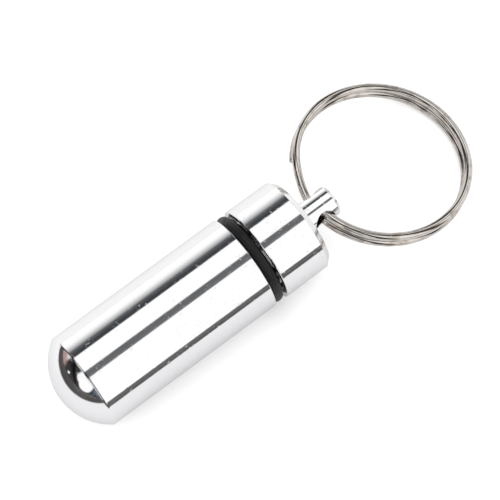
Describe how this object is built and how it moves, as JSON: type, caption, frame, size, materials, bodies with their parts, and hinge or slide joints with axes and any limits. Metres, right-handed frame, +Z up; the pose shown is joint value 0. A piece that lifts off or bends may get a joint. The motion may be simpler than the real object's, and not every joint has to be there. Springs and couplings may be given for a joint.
{
  "type": "pill capsule keychain",
  "caption": "Small round metal capsule for pills, with a domed end, a screw-on cap sealed by a rubber O-ring, and a split key ring through the stem on the cap.",
  "frame": {"origin": "on the surface the object lies on, under the middle of its bounding box", "axes": "+X along the capsule from its domed end to the key ring, +Y to the side, +Z up"},
  "size_m": [0.0668, 0.0249, 0.014],
  "materials": {
    "aluminium": "turned and polished to a mirror, with fine specks and scratches",
    "rubber": "satin black, a little dusty",
    "ring_steel": "bright nickel plate on spring steel"
  },
  "bodies": {
    "tube": {"tube": "aluminium"},
    "seal": {"o_ring": "rubber"},
    "cap": {"cap": "aluminium"},
    "key_ring": {"split_ring": "ring_steel"}
  },
  "joints": [
    {"name": "cap_twist", "type": "hinge", "parent": "tube", "child": "seal", "pos_m": [-0.00092, -0.00092, 0.007], "axis": [1, 0, 0], "range_deg": [0, 5400]},
    {"name": "cap_lift", "type": "slide", "parent": "seal", "child": "cap", "axis": [1, 0, 0], "range_m": [0, 0.015]},
    {"name": "ring_swing", "type": "hinge", "parent": "cap", "child": "key_ring", "pos_m": [0.00938, -0.00092, 0.007], "axis": [0, 1, 0], "range_deg": [-143, 115]}
  ],
  "couplings": [
    {"joint": "cap_lift", "follows": "cap_twist", "m_per_rad": 0.00015915}
  ]
}
